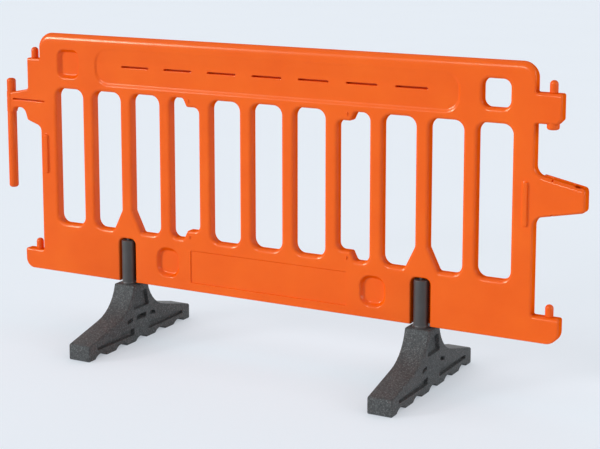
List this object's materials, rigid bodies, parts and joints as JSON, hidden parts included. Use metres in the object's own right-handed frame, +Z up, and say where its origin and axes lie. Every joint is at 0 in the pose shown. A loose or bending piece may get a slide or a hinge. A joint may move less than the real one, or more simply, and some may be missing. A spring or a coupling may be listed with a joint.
{
  "type": "pedestrian barrier panel",
  "caption": "Slatted orange plastic barrier panel with link rod, tongue and pegs at its ends, on swivelling rubber feet; links in a row to keep walkers off works.",
  "frame": {"origin": "on the ground, midway between the tip of the tongue and the outside of the rod's eye, in the panel's mid-plane", "axes": "+X along the panel towards the tongue, -Y towards the front, +Z up"},
  "size_m": [2.0439, 0.58, 1],
  "materials": {
    "panel": "satin orange polyethylene",
    "fittings": "satin orange polyethylene",
    "stem": "smooth dark grey",
    "foot": "coarse speckled recycled rubber"
  },
  "bodies": {
    "panel": {"panel": "panel", "link_rod": "fittings", "upper_left_peg": "fittings", "upper_right_peg": "fittings", "lower_left_peg": "fittings", "lower_right_peg": "fittings"},
    "left_foot": {"left_stem": "stem", "left_foot": "foot"},
    "right_foot": {"right_stem": "stem", "right_foot": "foot"}
  },
  "joints": [
    {"name": "left_foot_swivel", "type": "hinge", "parent": "panel", "child": "left_foot", "pos_m": [-0.525, -0.01, 0.195], "axis": [0, 0, 1], "range_deg": [-90, 90]},
    {"name": "right_foot_swivel", "type": "hinge", "parent": "panel", "child": "right_foot", "pos_m": [0.525, -0.01, 0.195], "axis": [0, 0, 1], "range_deg": [-90, 90]}
  ]
}
